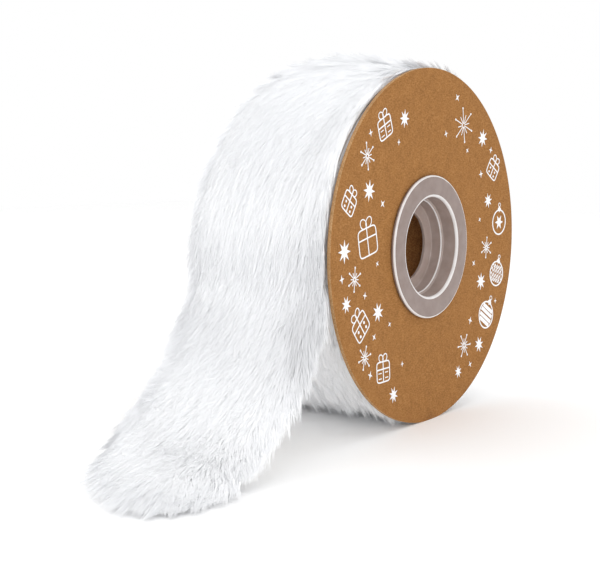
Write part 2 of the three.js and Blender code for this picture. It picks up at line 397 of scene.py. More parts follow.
def blot(outline):
    """A film inside an outline that its middle sees all of: a fan on each level and a wall between."""
    flat = np.concatenate([outline.mean(axis=0, keepdims=True), outline])
    count = len(outline)
    ring = np.arange(count) + 1
    following = np.roll(ring, -1)
    low = count + 1
    faces = np.concatenate([
        np.stack([0 * ring, ring, following], axis=-1),
        np.stack([0 * ring + low, following + low, ring + low], axis=-1),
        np.stack([ring, ring + low, following + low], axis=-1),
        np.stack([ring, following + low, following], axis=-1),
    ])
    films.append((np.concatenate([on_card(flat, INK_LIFT + INK_THICK), on_card(flat, INK_LIFT)]), faces))


def circle(count, radius=1.0, middle=(0, 0)):
    """Places evenly round a circle."""
    turn = np.arange(count) * 2 * math.pi / count
    return np.array(middle) + radius * np.column_stack([np.cos(turn), np.sin(turn)])


def straight(start, end, count=5):
    """Places evenly along a straight line."""
    return np.linspace(start, end, count)


# %% Figures
FIGURE_STEPS, ZIGZAG_STEPS, ZIGZAG_TURN = 40, 25, 1.3


def star(put, size, points=8, waist=0.42):
    """A plain star: an outline that steps between two radii."""
    outline = circle(2 * points) * np.where(np.arange(2 * points) % 2, waist, 1)[:, None]
    blot(put(outline * size / 2))


def burst(put, size, rays=12):
    """Thin rays, long and short in turn, with a dot on each long one."""
    for number, way in enumerate(circle(rays)):
        reach = size / 2 * (1 if number % 2 == 0 else 0.62)
        stroke(put(straight(way * size * 0.05, way * reach, 4)), 0.34)
        if number % 2 == 0:
            blot(put(circle(8, 0.42, way * reach)))


def parcel(put, size, style="ribbon"):
    """A square parcel: a rounded outline, a ribbon, a bow of two loops, and dots or lines on its sides."""
    around = circle(FIGURE_STEPS)
    body = np.sign(around) * np.abs(around) ** 0.3 * [0.36, 0.3] + [0, -0.14]
    stroke(put(body * size), closed=True)
    top, bottom = 0.16 * size, -0.44 * size
    stroke(put(straight((0, bottom), (0, top))))
    stroke(put(straight((-0.35 * size, -0.06 * size), (0.35 * size, -0.06 * size))))
    for side in (-1, 1):
        along, aside = 0.13 * (1 - around[:, 0]), 0.1 * around[:, 1]
        loop = np.column_stack([side * (0.82 * along - 0.57 * aside), 0.57 * along + 0.82 * aside]) * size
        stroke(put(loop + [0, top + 0.03 * size]), 0.4, closed=True)
        for row in (-0.17, -0.33):
            if style == "dots":
                blot(put(circle(8, 0.045 * size, (side * 0.18 * size, row * size))))
            if style == "lines":
                ends = np.array([[0.1, row], [0.27, row]]) * [side * size, size]
                stroke(put(straight(*ends)), 0.35)


def bauble(put, size, style="star"):
    """A round bauble: a ring with a cap and a hook above it, and a star, a zigzag or bands inside."""
    radius, middle = 0.38 * size, np.array([0, -0.08 * size])
    stroke(put(circle(FIGURE_STEPS, radius, middle)), 0.6, closed=True)
    blot(put(circle(4, 0.1 * size, (0, 0.33 * size))))
    stroke(put(circle(14, 0.06 * size, (0, 0.46 * size))), 0.3, closed=True)
    if style == "star":
        star(lambda flat: put(flat + middle), 0.48 * size, points=6)
    for level in (-0.55, -0.2, 0.2, 0.55):
        half = 0.86 * radius * math.sqrt(1 - level ** 2)
        if style == "bands":
            stroke(put(straight((-half, level * radius), (half, level * radius)) + middle), 0.11 * size)
        if style == "zigzag":
            across = straight((-half, level * radius), (half, level * radius), ZIGZAG_STEPS)
            across[:, 1] += 0.07 * size * np.sin(np.arange(ZIGZAG_STEPS) * ZIGZAG_TURN)
            stroke(put(across + middle), 0.4)


def sparkle(put, size):
    """A small four-pointed twinkle."""
    star(put, size, points=4, waist=0.3)


# %% Layout of the print
# A figure, its radius and angle on the disc, its size, and its style.
PRINT = [
    (star, 50, 112, 6.5, {}), (parcel, 55, 126, 12, {"style": "lines"}), (burst, 54, 142, 9, {}),
    (star, 46, 152, 7.5, {}), (parcel, 56, 160, 11, {"style": "dots"}), (parcel, 42, 171, 16, {}),
    (star, 56, 178, 8, {}), (burst, 50, 189, 8, {}), (star, 57, 196, 6, {}),
    (parcel, 52, 206, 13, {"style": "dots"}), (star, 40, 211, 7, {}), (burst, 56, 219, 8, {}),
    (parcel, 51, 232, 12, {"style": "lines"}), (star, 57, 244, 6, {}), (burst, 51, 62, 13, {}),
    (star, 56, 46, 7, {}), (parcel, 57, 31, 11, {"style": "dots"}), (star, 48, 19, 6, {}),
    (bauble, 55, 8, 13, {"style": "star"}), (burst, 45, -4, 8, {}),
    (bauble, 55, -14, 13, {"style": "zigzag"}), (star, 44, -22, 7, {}),
    (bauble, 54, -33, 14, {"style": "bands"}), (star, 57, -47, 6.5, {}),
    (burst, 49, -56, 9, {}), (star, 55, -66, 5, {}),
]
TILT = [0, 25, -18, 40, -32, 12]
# A sparkle's radius and angle on the disc.
SPARKLES = [
    (44, 120), (58, 135), (36, 152), (35, 186), (45, 198), (58, 187), (37, 224), (47, 218), (58, 226),
    (45, 246), (43, 75), (58, 72), (45, 52), (58, 38), (47, 34), (40, 12), (36, -14), (45, -44), (58, -26),
    (58, -57),
]
SPARKLE_SIZES, SPARKLE_TILT = [2.2, 2.7, 3.2], 20


def putter(radius, degrees, tilt):
    """A function that turns flat places by a tilt and sets them down at a radius and angle on the disc."""
    turn, angle = math.radians(tilt), math.radians(degrees)
    turned_by = np.array([[math.cos(turn), math.sin(turn)], [-math.sin(turn), math.cos(turn)]])
    middle = radius * np.array([math.cos(angle), math.sin(angle)])
    return lambda flat: flat @ turned_by + middle


for number, (figure, radius, degrees, size, style) in enumerate(PRINT):
    figure(putter(radius, degrees, TILT[number % len(TILT)]), size, **style)
for number, (radius, degrees) in enumerate(SPARKLES):
    size = SPARKLE_SIZES[number % len(SPARKLE_SIZES)]
    sparkle(putter(radius, degrees, SPARKLE_TILT * number), size)
print("figures:", len(PRINT) + len(SPARKLES), "films:", len(films))

# %% Ink mesh
ink = new_finish("white_ink", Roughness=0.6, Specular_IOR_Level=0.3)
ink_cover = noise(ink, on_object(ink), scale=1600, detail=2)
feed(ink, "Base Color", ramp(ink, ink_cover, (0.3, (0.72, 0.72, 0.73)), (0.5, (0.84, 0.845, 0.86))))

starts = np.cumsum([0] + [len(points) for points, faces in films])
film_points = np.concatenate([points for points, faces in films])
shifted = [faces + start for (points, faces), start in zip(films, starts)]
film_faces = [np.concatenate([faces for faces in shifted if faces.shape[1] == n]) for n in (3, 4)]
place(make_piece("print_near", film_points, film_faces, [ink], smooth=False), "kraft_card")

# %% [markdown]
# ## The card tube
#
# The discs are joined by a plain wound tube, which shows only through the hub. It is a short pipe.

# %% Tube
TUBE_INNER, TUBE_WALL, TUBE_EASE = 20.2, 2.0, 0.3
CLEARANCE = 0.3
TURN_STEPS = 96
tube_end = FLANGE_GAP / 2 - CLEARANCE
tube_outer = TUBE_INNER + TUBE_WALL
tube_outline = eased([
    (TUBE_INNER, -tube_end, TUBE_EASE),
    (tube_outer, -tube_end, TUBE_EASE),
    (tube_outer, tube_end, TUBE_EASE),
    (TUBE_INNER, tube_end, TUBE_EASE),
], CARD_STEPS)
place(make_piece("tube", *turned(tube_outline, TURN_STEPS), [tube_card]), "tube_card", "core_tube")

# %% [markdown]
# ## The hub bushes
#
# A bush is a moulded cup of milky plastic: a flat lip on the card, a stepped bore and an end wall with a
# round hole. A share of light gets through it, and its colour is also painted the pinkish grey that the
# card behind gives it. Its eased edges are painted near white, as a painted highlight, and the bore is
# painted lighter, as painted light for what comes through the plastic into its shade. Lip, bore and edges
# each have a finish, of one plastic in different strengths.

# %% Milky plastic
def plastic_finish(name, thin, thick, through):
    """Cloudy plastic: haze mixes thin and thick, a faint ripple bends light, and a share goes through."""
    material = new_finish(name, Roughness=0.16, IOR=1.46, Transmission_Weight=through)
    on_bush = on_object(material)
    haze = noise(material, on_bush, scale=240, detail=3)
    feed(material, "Base Color", ramp(material, haze, (0.3, thin), (0.7, thick)))
    bumped(material, noise(material, on_bush, scale=500, detail=2), strength=0.06, depth=0.1)
    return material


# The lip's pinkish grey is partly painted: the card behind, seen through the plastic.
milky = plastic_finish("milky_plastic", (0.345, 0.258, 0.228), (0.405, 0.315, 0.283), through=0.4)
# Painted light: the bore is lighter than the lip, for light that comes through the plastic into it.
milky_bore_painted_light = plastic_finish("milky_bore_painted_light", (0.5, 0.39, 0.345), (0.58, 0.47, 0.425), through=0.4)
# Painted highlight: the eased edges are near white.
milky_edge_highlight = plastic_finish("milky_edge_highlight", (0.74, 0.71, 0.70), (0.82, 0.79, 0.78), through=0.15)
print("plastic:", milky.name, milky_edge_highlight.name, milky_bore_painted_light.name)

# %% Bushes
LIP_RADIUS, LIP_THICK = 26.4, 1.4
BORE_RADIUS, BORE_EASE = 18.4, 0.9
STEP, STEP_DEPTH = 1, 6
CUP_DEPTH, CUP_WALL, CUP_HOLE = 10.8, 1.3, 12.9
EASE_STEPS = 5
# Corners whose eased faces are painted near white as a highlight.
HIGHLIGHT_CORNERS = [1, 2, 4]
lip_face = FLANGE_GAP / 2 + CARD + CLEARANCE + LIP_THICK
sleeve, inner_bore = BORE_RADIUS + CUP_WALL, BORE_RADIUS - STEP
# A corner is a radius, a distance from the lip's face and an ease.
bush_corners = np.array([
    (LIP_RADIUS, -LIP_THICK, 0.3),
    (LIP_RADIUS, 0, 0.6),
    (BORE_RADIUS, 0, BORE_EASE),
    (BORE_RADIUS, -STEP_DEPTH, 0.25),
    (inner_bore, -STEP_DEPTH - STEP / 2, 0.3),
    (inner_bore, -CUP_DEPTH, 0.6),
    (CUP_HOLE, -CUP_DEPTH, 0.3),
    (CUP_HOLE, -CUP_DEPTH - CUP_WALL, 0.3),
    (sleeve, -CUP_DEPTH - CUP_WALL, 0.5),
    (sleeve, -LIP_THICK, 0.3),
])
plastics = [milky, milky_edge_highlight, milky_bore_painted_light]
for side, node in ((1, "bush_near"), (-1, "bush_far")):
    outline = eased(bush_corners, EASE_STEPS)[::-side]
    outline[:, 1] = side * (lip_face + outline[:, 1])
    points, faces = turned(outline, TURN_STEPS)
    strip = faces % len(outline)
    corner_of = (len(outline) - 1 - strip if side == 1 else strip) // EASE_STEPS
    same_corner = corner_of.min(axis=1) == corner_of.max(axis=1)
    # Faces of those corners take the painted highlight, and faces in the bore take the painted light.
    highlight_faces = same_corner & np.isin(corner_of[:, 0], HIGHLIGHT_CORNERS)
    painted_light_bore = outline[strip, 0].max(axis=1) < BORE_RADIUS + BORE_EASE / 2
    slots = np.where(highlight_faces, 1, np.where(painted_light_bore, 2, 0))
    piece = make_piece(node.replace("bush", "hub"), points, faces, plastics, face_slots=slots)
    place(piece, "milky_plastic", node)

# %% [markdown]
# ## The ribbon's path
#
# The backing is wound as a spiral of six turns, then leaves the roll at the height of the axis and sweeps
# down to the table. A spline through a few points gives one smooth line for all of it. A place on the
# ribbon is then three numbers: how far along, how far across, and how high above the backing's underside.

# %% Path points
LEAVE_RADIUS, PITCH = 64.5, 7
CORE_RADIUS = 22.5
SPIRAL_STEP = 5
RIBBON_WIDTH = 50
LOOSE_OUT = [64.6, 68.4, 79.6, 93.4, 104.5, 113, 122, 136.5]
LOOSE_UP = [54, 40, 22.8, 10.4, 3.6, 0.8, 0, 0]

wound = 360 * (LEAVE_RADIUS - CORE_RADIUS) / PITCH
spiral_angle = np.arange(wound, -1, -SPIRAL_STEP)
spiral_radius = LEAVE_RADIUS - PITCH * spiral_angle / 360
spiral = spiral_radius[:, None] * np.column_stack([
    -np.cos(np.radians(spiral_angle)),
    np.sin(np.radians(spiral_angle)),
])
loose = np.column_stack([-np.array(LOOSE_OUT), np.array(LOOSE_UP) - AXIS_HEIGHT])
path_points = np.concatenate([spiral, loose])
print("turns on the roll:", wound / 360, "path points:", len(path_points))

# %% Spline
LINE_STEP = 0.5


def spline(points, step):
    """Points about a step apart on a natural cubic spline, the curve whose bending changes evenly."""
    chord = np.linalg.norm(np.diff(points, axis=0), axis=1)
    knot = np.concatenate([[0], np.cumsum(chord)])
    inside = np.arange(1, len(points) - 1)
    slope = np.diff(points, axis=0) / chord[:, None]
    matrix = np.eye(len(points))
    matrix[inside, inside - 1] = chord[:-1]
    matrix[inside, inside] = 2 * (chord[:-1] + chord[1:])
    matrix[inside, inside + 1] = chord[1:]
    pull = np.zeros_like(points)
    pull[1:-1] = 6 * np.diff(slope, axis=0)
    bend = np.linalg.solve(matrix, pull)
    where = np.linspace(0, knot[-1], int(knot[-1] / step))
    left = np.clip(np.searchsorted(knot, where, side="right") - 1, 0, len(chord) - 1)
    width = chord[left][:, None]
    b = (where - knot[left])[:, None] / width
    a = 1 - b
    curve = a * points[left] + b * points[left + 1]
    return curve + ((a ** 3 - a) * bend[left] + (b ** 3 - b) * bend[left + 1]) * width ** 2 / 6


line = spline(path_points, LINE_STEP)
line[:, 1] = np.maximum(line[:, 1], -AXIS_HEIGHT)
ahead = np.gradient(line, axis=0)
ahead /= np.linalg.norm(ahead, axis=1, keepdims=True)
travelled = np.concatenate([[0], np.cumsum(np.linalg.norm(np.diff(line, axis=0), axis=1))])
leave_at = travelled[np.argmin(np.linalg.norm(line - spiral[-1], axis=1))]
along_line = travelled - leave_at
angle_on_line = np.unwrap(np.arctan2(line[:, 1], -line[:, 0]))
angle_on_line = np.degrees(angle_on_line - np.interp(0, along_line, angle_on_line))
angle_on_line = np.where(along_line < 0, angle_on_line, 0)
CUT_AT = along_line[-1]
print("ribbon length, mm:", round(travelled[-1], 1), "loose past the roll:", round(CUT_AT, 1))

# %% Places on the ribbon
LOOSE_SPREAD = 2
LEAVES_FROM, LEAVES_TO = 67, 75


def smooth_step(value, low, high):
    """0 below low, 1 above high, and an even S between."""
    share = np.clip((value - low) / (high - low), 0, 1)
    return share * share * (3 - 2 * share)


def from_axis(along):
    """Distance of the line from the reel's axis."""
    y, z = (np.interp(along, along_line, values) for values in line.T)
    return np.hypot(y, z)


def clear_of_discs(along):
    """Share of the way from the roll to fully clear of the discs, by the line's distance from the axis."""
    return smooth_step(from_axis(along), LEAVES_FROM, LEAVES_TO) * (along > 0)


def on_ribbon(along, across, height):
    """Point at a distance along the line, across it and above it. Past the cut the line runs straight."""
    past = np.maximum(along - CUT_AT, 0)
    y, z, run_y, run_z = (np.interp(along, along_line, values) for values in (*line.T, *ahead.T))
    return np.stack([across, y + past * run_y + height * run_z, z + past * run_z - height * run_y], axis=-1)


# %% [markdown]
# ## The cut
#
# The loose end is cut on a slant with rounded corners. Stations near it slide forward on the near side and
# back at both corners, so that rows of points turn gradually from square to the shape of the cut.

# %% Cut
CUT_SLANT, CUT_ROUND = 15, 12.5
SLANT_RUN = 84


def slanted(along, side):
    """Distance along at a place across, slid toward the shape of the cut over the last stretch."""
    share = smooth_step(along, CUT_AT - SLANT_RUN, CUT_AT)
    return along + (CUT_SLANT * side - CUT_ROUND * side ** 2) * share


print("cut at the far edge, middle and near edge, mm:", slanted(CUT_AT, np.array([-1, 0, 1])).round(1))

# %% [markdown]
# ## How high the pile stands
#
# On the top of the reel the pile leans to the far side, at the bottom it is pressed by the table, and on
# the loose end it stands free. A short table of heights by angle round the roll says so. The height falls
# off toward the ribbon's edges and rounds down past the cut.

# %% Pile heights
PILE_ANGLE = [0, 40, 62, 85, 110, 145, 180, 225, 270, 295, 330, 360, 372]
PILE_MIDDLE = [8.4, 7.6, 7.0, 6.8, 6.6, 6.6, 6.0, 5.0, 4.4, 4.2, 3.0, 2.4, 6.6]
PILE_EDGE = [7.4, 4.2, 2.4, 2.6, 2.6, 2.8, 3.2, 3.6, 3.9, 3.6, 2.2, 1.6, 6.4]
PILE_LEAN = [0.6, 1.4, 2.0, 4.6, 5.0, 2.6, 1.0, 0, 0, 0, 0, 0, 0]
LOOSE_MIDDLE, LOOSE_EDGE = 8.8, 6.4
END_FROM, END_TO, END_LEFT = -5, 9, 0.1


def pile_height(along, side):
    """Height of the pile: an edge height plus a crown that fades with the cube of the distance from the
    middle, times a quarter circle down past the cut."""
    angle = np.interp(along, along_line, angle_on_line)
    clear = clear_of_discs(along)
    middle, edge, lean = (np.interp(angle, PILE_ANGLE, row) for row in (PILE_MIDDLE, PILE_EDGE, PILE_LEAN))
    middle = middle + (LOOSE_MIDDLE - middle) * clear
    edge = edge + (LOOSE_EDGE - edge) * clear
    lean = lean * (1 - clear)
    near_cut = np.clip((along - slanted(CUT_AT, side) - END_FROM) / (END_TO - END_FROM), 0, 1)
    rounding = np.sqrt(1 - (1 - END_LEFT) * near_cut ** 2)
    return rounding * (edge + (middle - edge - lean * side) * (1 - np.abs(side) ** 3))


def half_width(along):
    """Half the ribbon's width, a little more once its edges are free of the discs."""
    return RIBBON_WIDTH / 2 + LOOSE_SPREAD * clear_of_discs(along)


# %% [markdown]
# ## The woven backing
#
# The cloth under the pile is a thin plain weave. It is one sheet from the core to the cut: a flat section
# carried along the line.

# %% Sections along the ribbon
BACKING = 0.9
WOUND_STEP, FREE_STEP = 6, 2.2

free_from = np.interp(-360, -angle_on_line, along_line)
wound_stations = np.arange(along_line[0], free_from, WOUND_STEP)
free_stations = np.linspace(free_from, CUT_AT, int((CUT_AT - free_from) / FREE_STEP))
stations = np.concatenate([wound_stations, free_stations])


def carried(sides, heights):
    """A closed section of places across and heights, carried along all stations, with capped ends."""
    along = slanted(stations[:, None], sides)
    points = on_ribbon(along, sides * half_width(along), heights(along, sides))
    count = points.shape[1]
    faces = grid_faces(len(stations), count, close_columns=True)
    last = (len(stations) - 1) * count
    half = np.arange(count // 2 - 1)
    cap = np.stack([half, count - 1 - half, count - 2 - half, half + 1], axis=-1)
    return points.reshape(-1, 3), np.concatenate([faces[:, ::-1], cap[:, ::-1], last + cap])


print("stations:", len(stations))

# %% Weave finish and backing
THREAD = 0.5
# The wave texture's own period, at a scale of 1.
WAVE_PERIOD = 0.314
weave = new_finish("woven_backing", Roughness=0.9, Specular_IOR_Level=0.2)
weave_map = wire(weave, "UVMap", uv_map="weave").outputs["UV"]
waves = {"Vector": weave_map, "Scale": WAVE_PERIOD / THREAD}
warp, weft = (wire(weave, "TexWave", waves, bands_direction=way).outputs["Fac"] for way in "XY")
threads = maths(weave, "MULTIPLY", warp, weft)
feed(weave, "Base Color", ramp(weave, threads, (0, (0.84, 0.84, 0.83)), (0.6, (0.93, 0.93, 0.92))))
bumped(weave, threads, strength=0.5, depth=0.2)

ACROSS_BACKING = 6
across = np.linspace(-1, 1, ACROSS_BACKING)
backing_sides = np.concatenate([across, across[::-1]])
backing_levels = np.repeat([BACKING, 0.0], ACROSS_BACKING)
points, faces = carried(backing_sides, lambda along, side: backing_levels + 0 * along)
backing = make_piece("ribbon_backing", points, faces, [weave])
corner = np.empty(len(backing.data.loops), np.int32)
backing.data.loops.foreach_get("vertex_index", corner)
weave_place = np.column_stack([
    (backing_sides * RIBBON_WIDTH / 2)[corner % len(backing_sides)],
    stations[corner // len(backing_sides)],
])
backing.data.uv_layers.new(name="weave").data.foreach_set("uv", weave_place.astype(np.float32).ravel())
place(backing, "plush", "ribbon_roll", "ribbon_end")

# %% [markdown]
# ## The shape of the pile
#
# Picture the fur's outer surface as a long soft pillow on the ribbon. Its top is nearly flat, and a rounded
# shoulder on each side slopes down to the backing. On the roll the shoulders are narrow, because the discs
# hold them, and end about level with the card's rim. On the loose end they are broad, and one more goes
# down past the cut. Unrolled, the pillow is a flat sheet: u runs along it and v across. The depth of a
# place is 0 at the backing and 1 at the tips.

# %% Shoulders
SHOULDER_IN, SHOULDER_IN_LOOSE, END_IN = 4, 11, 24
SHOULDER_ARC, SHOULDER_ARC_LOOSE, END_ARC = 8, 19, 35
OUT_ANGLE = [0, 20, 45, 70, 100, 180, 350]
OUT_FAR = [8.0, 7.0, 5.0, 1.5, 1.0, 0.8, 0.5]
OUT_NEAR = [2.5, 1.8, 1.2, 1.0, 1.0, 0.8, 0.5]
OUT_FAR_LOOSE, OUT_LOOSE_AT, OUT_NEAR_LOOSE = 7.5, [60, 110], [6.5, 12]
OUT_END_SIDE, OUT_END = [-1, 0.1, 0.6, 1], [11, 11, 13, 15]
FALL_FAR, FALL_NEAR, FALL_END = 4, 2.3, 1.6
LOOSE_TOP, LOOSE_LOW = 8.8, 0.35
RIM_CLEAR_FAR, RIM_CLEAR_NEAR = 0.9, -0.8


def shoulder(u):
    """How far in from the ribbon's edge the shoulders start, and how long they are, unrolled."""
    clear = clear_of_discs(u)
    inward = SHOULDER_IN + (SHOULDER_IN_LOOSE - SHOULDER_IN) * clear
    return inward, SHOULDER_ARC + (SHOULDER_ARC_LOOSE - SHOULDER_ARC) * clear


def half_sheet(u):
    """Half the unrolled width of the pillow."""
    inward, arc = shoulder(u)
    return half_width(u) - inward + arc


def past_shoulder(u, v):
    """How far an unrolled place is over the shoulders, along and across, as shares of their length."""
    inward, arc = shoulder(u)
    over_u, over_v = u - CUT_AT + END_IN, np.abs(v) - half_width(u) + inward
    return np.maximum(over_u, 0) / END_ARC, np.maximum(over_v, 0) / arc


def shoulder_out(u, v):
    """How far past the ribbon's edge a shoulder comes down: by angle and side, more on the loose end."""
    angle, clear = np.interp(u, along_line, angle_on_line), clear_of_discs(u)
    far, near = np.interp(angle, OUT_ANGLE, OUT_FAR), np.interp(angle, OUT_ANGLE, OUT_NEAR)
    near_loose = np.interp(u, OUT_LOOSE_AT, OUT_NEAR_LOOSE)
    return np.where(v < 0, far + (OUT_FAR_LOOSE - far) * clear, near + (near_loose - near) * clear)


# %% Pillow
SIDE_LIMIT, LOW_LIMIT = 1.15, 0.7


def fallen(past_u, past_v, v):
    """Share of the pillow's height lost over the shoulders: a power of the way, its own for each."""
    return np.minimum(past_u ** FALL_END + past_v ** np.where(v < 0, FALL_FAR, FALL_NEAR), 1)


def on_pillow(u, v, depth, reach):
    """Along, across and height of unrolled places, from the pillow's top to its low edges."""
    inward, arc = shoulder(u)
    past_u, past_v = past_shoulder(u, v)
    reach_u, reach_v = (depth * (1 + (reach - 1) * past ** 2) for past in (past_u, past_v))
    out_end = np.interp(v / half_width(u), OUT_END_SIDE, OUT_END)
    slide_u = (END_IN + out_end * reach_u) * past_u - END_ARC * past_u
    slide_v = (inward + shoulder_out(u, v) * reach_v) * past_v - arc * past_v
    across = v + np.sign(v) * slide_v
    side = np.clip(across / half_width(u), -SIDE_LIMIT, SIDE_LIMIT)
    clear = clear_of_discs(u)
    top = pile_height(u, np.clip(side, -1, 1)) * (1 - clear) + LOOSE_TOP * clear
    rim_clear = np.where(v < 0, RIM_CLEAR_FAR, RIM_CLEAR_NEAR)
    wound_low = np.clip(FLANGE_RADIUS + rim_clear - from_axis(u), BACKING, LOW_LIMIT * top)
    low = wound_low + (LOOSE_LOW - wound_low) * clear
    fall = fallen(past_u, past_v, v)
    return slanted(u + slide_u, side), across, BACKING + ((top - BACKING) * (1 - fall) + low * fall) * depth


# %% [markdown]
# ## The under-pile
#
# Deep in the fur the hairs are so dense that they read as one soft, lumpy body. A closed layer on the
# backing stands for them, at about two thirds of the pile's height and less toward the edges, and the
# hairs grow through it.

# %% Under-pile
fur_white = new_finish("under_pile", Roughness=0.9, Specular_IOR_Level=0.1)
fluff = noise(fur_white, on_object(fur_white), scale=900, detail=4)
fluff_white = ramp(fur_white, fluff, (0.3, (0.915, 0.92, 0.928)), (0.7, (0.945, 0.95, 0.957)))
feed(fur_white, "Base Color", fluff_white)
bumped(fur_white, fluff, strength=0.5, depth=0.6)

UNDER_SHARE, UNDER_SHARE_LOOSE, UNDER_ROUND, UNDER_LEAST = 0.7, 0.6, 10, 0.1
UNDER_EDGE_FROM, UNDER_EDGE_TO, UNDER_EDGE_LESS = 0.5, 0.95, 0.6
LUMP, LUMP_WAVES = 0.35, [(2.1, 5), (9, 11)]
PACKED_SHARE, PACKED_RUN = 0.97, 40
ACROSS_PILE = 12
PILE_GAP = 0.05
across = np.linspace(-1, 1, ACROSS_PILE)
pile_sides = np.concatenate([across, across[::-1]])
is_top = np.repeat([1.0, 0.0], ACROSS_PILE)


def under_pile(along, side):
    """Top of the under-pile: a share of the pillow, waved along and across. Wound turns are filled up."""
    clear = clear_of_discs(along)
    inward = shoulder(along)[0]
    to_cut = slanted(CUT_AT, side) - along
    over_v = (np.abs(side) - 1) * half_width(along) + inward
    past_u = np.maximum(END_IN - to_cut, 0) / (END_IN + OUT_END[0])
    past_v = np.maximum(over_v, 0) / (inward + shoulder_out(along, side))
    rounding = np.sqrt(np.clip(to_cut / UNDER_ROUND, 0, 1) * (1 - np.minimum(np.abs(side), 1) ** 6))
    loose_top = LOOSE_TOP * rounding * np.maximum(1 - fallen(past_u, past_v, side), UNDER_LEAST)
    wave = LUMP * np.prod([np.sin(along / long + turns * side) for long, turns in LUMP_WAVES], axis=0)
    packed = 1 - smooth_step(along, free_from, free_from + PACKED_RUN)
    thinned = smooth_step(np.abs(side), UNDER_EDGE_FROM, UNDER_EDGE_TO)
    share = UNDER_SHARE * (1 - UNDER_EDGE_LESS * thinned)
    share = share + (PACKED_SHARE - share) * packed
    wound_top = share * pile_height(along, side) + wave * (1 - packed)
    top = wound_top + (UNDER_SHARE_LOOSE * loose_top - wound_top) * clear
    return BACKING + PILE_GAP + np.maximum(top - BACKING - PILE_GAP, PILE_GAP) * is_top


under = make_piece("under_pile", *carried(pile_sides, under_pile), [fur_white])
place(under, "plush")

# %% [markdown]
# ## The hairs
#
# The pile is what the eye sees: fine white hairs that rise from the backing, lie over along the ribbon and
# gather into pointed locks. A hair is a thin three-sided spindle: a point at the root, a ring at its bend
# and a point at the tip. All of them are worked out at once on the unrolled pillow, so they follow the
# roll and the shoulders by themselves. Their tips are spread over it, closest at the cut end and sparser
# behind the roll.

# %% Where tips lie
HAIRS_DRAWN = 149000
HAIR_PIECES = 5
CORNER_POWER, CORNER_LIMIT = 4, 1.001
END_MORE, EDGE_MORE = 2.0, 0.25
DENSITY_ANGLE = [0, 100, 125, 200, 300, 345, 352]
DENSITY = [1.0, 1.0, 0.75, 0.6, 0.7, 0.6, 0]
DENSITY_STEPS = 2000
rng = np.random.default_rng(5)


def tip_places(count):
    """Distances along the pillow for tips, drawn evenly from the share of hairs that each stretch has."""
    back = np.interp(-DENSITY_ANGLE[-1], -angle_on_line, along_line)
    place_on_line = np.linspace(back, CUT_AT - END_IN + END_ARC, DENSITY_STEPS)
    angle = np.interp(place_on_line, along_line, angle_on_line)
    more = 1 + (END_MORE - 1) * smooth_step(place_on_line, CUT_AT - END_IN, CUT_AT)
    total = np.cumsum(np.interp(angle, DENSITY_ANGLE, DENSITY) * half_sheet(place_on_line) * more)
    draw = (np.arange(count) + rng.random(count)) / count
    return np.interp(draw * total[-1], total, place_on_line)


golden = (math.sqrt(5) - 1) / 2
tip_u = tip_places(HAIRS_DRAWN)
tip_share = 2 * ((np.arange(HAIRS_DRAWN) * golden) % 1) - 1
tip_v = tip_share * (1 + EDGE_MORE - EDGE_MORE * tip_share ** 2) * half_sheet(tip_u)
past_u, past_v = past_shoulder(tip_u, tip_v)
in_corner = past_u ** CORNER_POWER + past_v ** CORNER_POWER > CORNER_LIMIT
tip_u, tip_v = tip_u[~in_corner], tip_v[~in_corner]
HAIRS = len(tip_u)
print("hairs:", HAIRS)

# %% [markdown]
# ### Locks and wisps
#
# Hairs cling together. Each belongs to a lock about nine millimetres long and to a finer wisp. The middles
# of locks are scattered one to a cell of a grid, and a hair joins the nearest, so locks have uneven
# outlines. A few wisps stand proud of the rest, more of them on top of the reel and over the far shoulder.

# %% Locks
LOCK_LONG, LOCK_WIDE = 9, 2.8
WISP_LONG, WISP_WIDE = 5, 0.9
PROUD_ANGLE, PROUD_SHARE = [0, 40, 70, 115, 150], [0.08, 0.08, 0.17, 0.17, 0.08]
PROUD_FAR, FAR_FROM, FAR_TO = 0.35, 0.92, 1.1
SCATTER, SCATTER_SALT, SCATTER_STRETCH = (12.9898, 78.233), 37.719, 43758.5453


def scatter(a, b, salt):
    """A repeatable fraction from 0 to 1 for two whole numbers: what is left of a much stretched sine."""
    wave = np.sin(a * SCATTER[0] + b * SCATTER[1] + salt * SCATTER_SALT) * SCATTER_STRETCH
    return wave - np.floor(wave)


def lock_of(along, across, long, wide, salt):
    """Middle and cell numbers of the nearest lock, from middles scattered one to a long by wide cell."""
    row, column = np.floor(across / wide), np.floor(along / long)
    best = np.full(len(along), np.inf)
    found = np.zeros((4, len(along)))
    for step in np.ndindex(3, 3):
        r, c = row + step[0] - 1, column + step[1] - 1
        middle_along = (c + scatter(r, c, salt)) * long
        middle_across = (r + scatter(r, c, salt + 1)) * wide
        apart = ((along - middle_along) / long) ** 2 + ((across - middle_across) / wide) ** 2
        nearer = apart < best
        best = np.where(nearer, apart, best)
        found = np.where(nearer, np.stack([middle_along, middle_across, r, c]), found)
    return found


lock_u, lock_v, lock_row, lock_column = lock_of(tip_u, tip_v, LOCK_LONG, LOCK_WIDE, salt=1)
wisp_u, wisp_v, wisp_row, wisp_column = lock_of(tip_u, tip_v, WISP_LONG, WISP_WIDE, salt=7)


def of_lock(salt):
    """A fraction for each hair that all hairs of its lock share."""
    return scatter(lock_row, lock_column, salt)


def of_wisp(salt):
    """A fraction for each hair that all hairs of its wisp share."""
    return scatter(wisp_row, wisp_column, salt)


